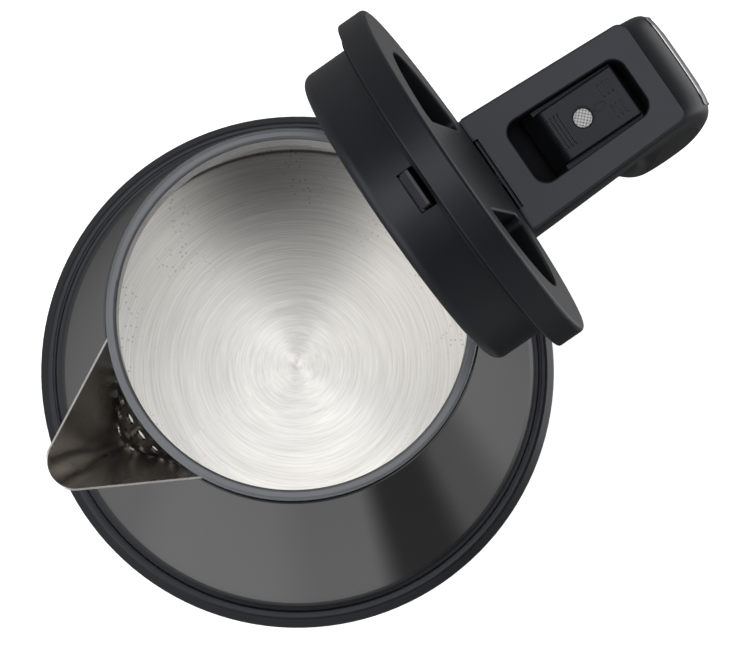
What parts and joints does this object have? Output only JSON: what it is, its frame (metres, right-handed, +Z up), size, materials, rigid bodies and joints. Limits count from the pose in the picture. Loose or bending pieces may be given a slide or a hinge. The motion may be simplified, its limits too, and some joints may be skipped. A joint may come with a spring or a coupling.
{
  "type": "electric kettle",
  "caption": "Cordless electric kettle with a conical black body, steel interior, pressed steel spout, sprung lid standing open, top switch handle and round power base.",
  "frame": {"origin": "centre of the underside of the power base, on the jug's axis, at the plane the rubber feet stand on", "axes": "+Z up along the jug's axis, +X towards the handle, -X towards the spout, Y along the lid's hinge pin"},
  "size_m": [0.2133, 0.164, 0.3302],
  "materials": {
    "satin_black": "satin moulded black",
    "lacquer_black": "gloss black lacquer",
    "ring_black": "polished black",
    "brushed_steel": "brushed round the axis",
    "floor_steel": "fine turned rings",
    "spout_steel": "polished sheet",
    "soft_black": "soft matt",
    "bright_trim": "polished",
    "hidden_black": "moulded",
    "control_white": "moulded",
    "screw_steel": "zinc plated",
    "pin_steel": "ground",
    "spring_steel": "drawn wire",
    "contact_brass": "plated",
    "bimetal": "rolled strip",
    "wire_cover": "extruded cover",
    "silicone": "moulded silicone",
    "cast_aluminium": "rolled",
    "element_sheath": "heat tinted",
    "duct_plastic": "moulded",
    "lamp_glass": "clear",
    "rocker_black": "satin moulded black",
    "lens_clear": "clear with a fine mesh",
    "latch_grey": "moulded dark grey"
  },
  "bodies": {
    "base": {"base_shell": "satin_black", "base_floor": "hidden_black", "base_feet": "soft_black", "base_screws": "screw_steel", "socket_housing": "hidden_black", "socket_contacts": "contact_brass", "terminal_block": "control_white", "terminal_screws": "screw_steel", "base_wires": "wire_cover", "cord_bush": "soft_black"},
    "swivel": {"socket_post": "contact_brass"},
    "jug": {"foot_collar": "satin_black", "bottom_cover": "hidden_black", "bottom_screws": "screw_steel", "outer_shell": "lacquer_black", "inner_pot": "brushed_steel", "mouth_ring": "ring_black", "spout": "spout_steel", "floor_plate": "floor_steel", "floor_seal": "silicone", "diffuser": "cast_aluminium", "heating_element": "element_sheath", "element_pins": "pin_steel", "control_unit": "control_white", "limiter_discs": "bimetal", "control_screws": "screw_steel", "connector_rings": "contact_brass", "connector_sleeve": "contact_brass", "wiring": "wire_cover", "steam_duct": "duct_plastic", "handle_shell": "satin_black", "grip_pads": "soft_black", "spine_trim": "bright_trim", "top_plate": "satin_black", "switch_body": "hidden_black", "switch_lamp": "lamp_glass", "steam_bimetal": "bimetal", "handle_screws": "screw_steel", "hinge_pin": "pin_steel", "hinge_spring": "spring_steel"},
    "rocker": {"rocker": "rocker_black", "rocker_lens": "lens_clear"},
    "lid": {"lid_cap": "satin_black", "lid_plug": "satin_black", "lid_screws": "screw_steel", "lid_seal": "soft_black", "latch_guide": "hidden_black", "latch_spring": "spring_steel"},
    "latch": {"latch_bolt": "latch_grey"}
  },
  "joints": [
    {"name": "jug_turn", "type": "hinge", "parent": "base", "child": "swivel", "pos_m": [0, 0, 0.022], "axis": [0, 0, 1], "continuous": true},
    {"name": "jug_lift", "type": "slide", "parent": "swivel", "child": "jug", "axis": [0, 0, 1], "range_m": [0, 0.12]},
    {"name": "lid_hinge", "type": "hinge", "parent": "jug", "child": "lid", "pos_m": [0.058, 0, 0.222], "axis": [0, 1, 0], "range_deg": [-79.9, 0], "stiffness_Nm_per_rad": 0.12, "springref_deg": 20.05, "deforming": ["hinge_spring"]},
    {"name": "rocker_tilt", "type": "hinge", "parent": "jug", "child": "rocker", "pos_m": [0.0975, 0, 0.217], "axis": [0, 1, 0], "range_deg": [-7, 0]},
    {"name": "latch_slide", "type": "slide", "parent": "lid", "child": "latch", "axis": [0.1754, 0, -0.9845], "range_m": [0, 0.005], "stiffness_N_per_m": 250, "springref_m": -0.002, "deforming": ["latch_spring"]}
  ]
}
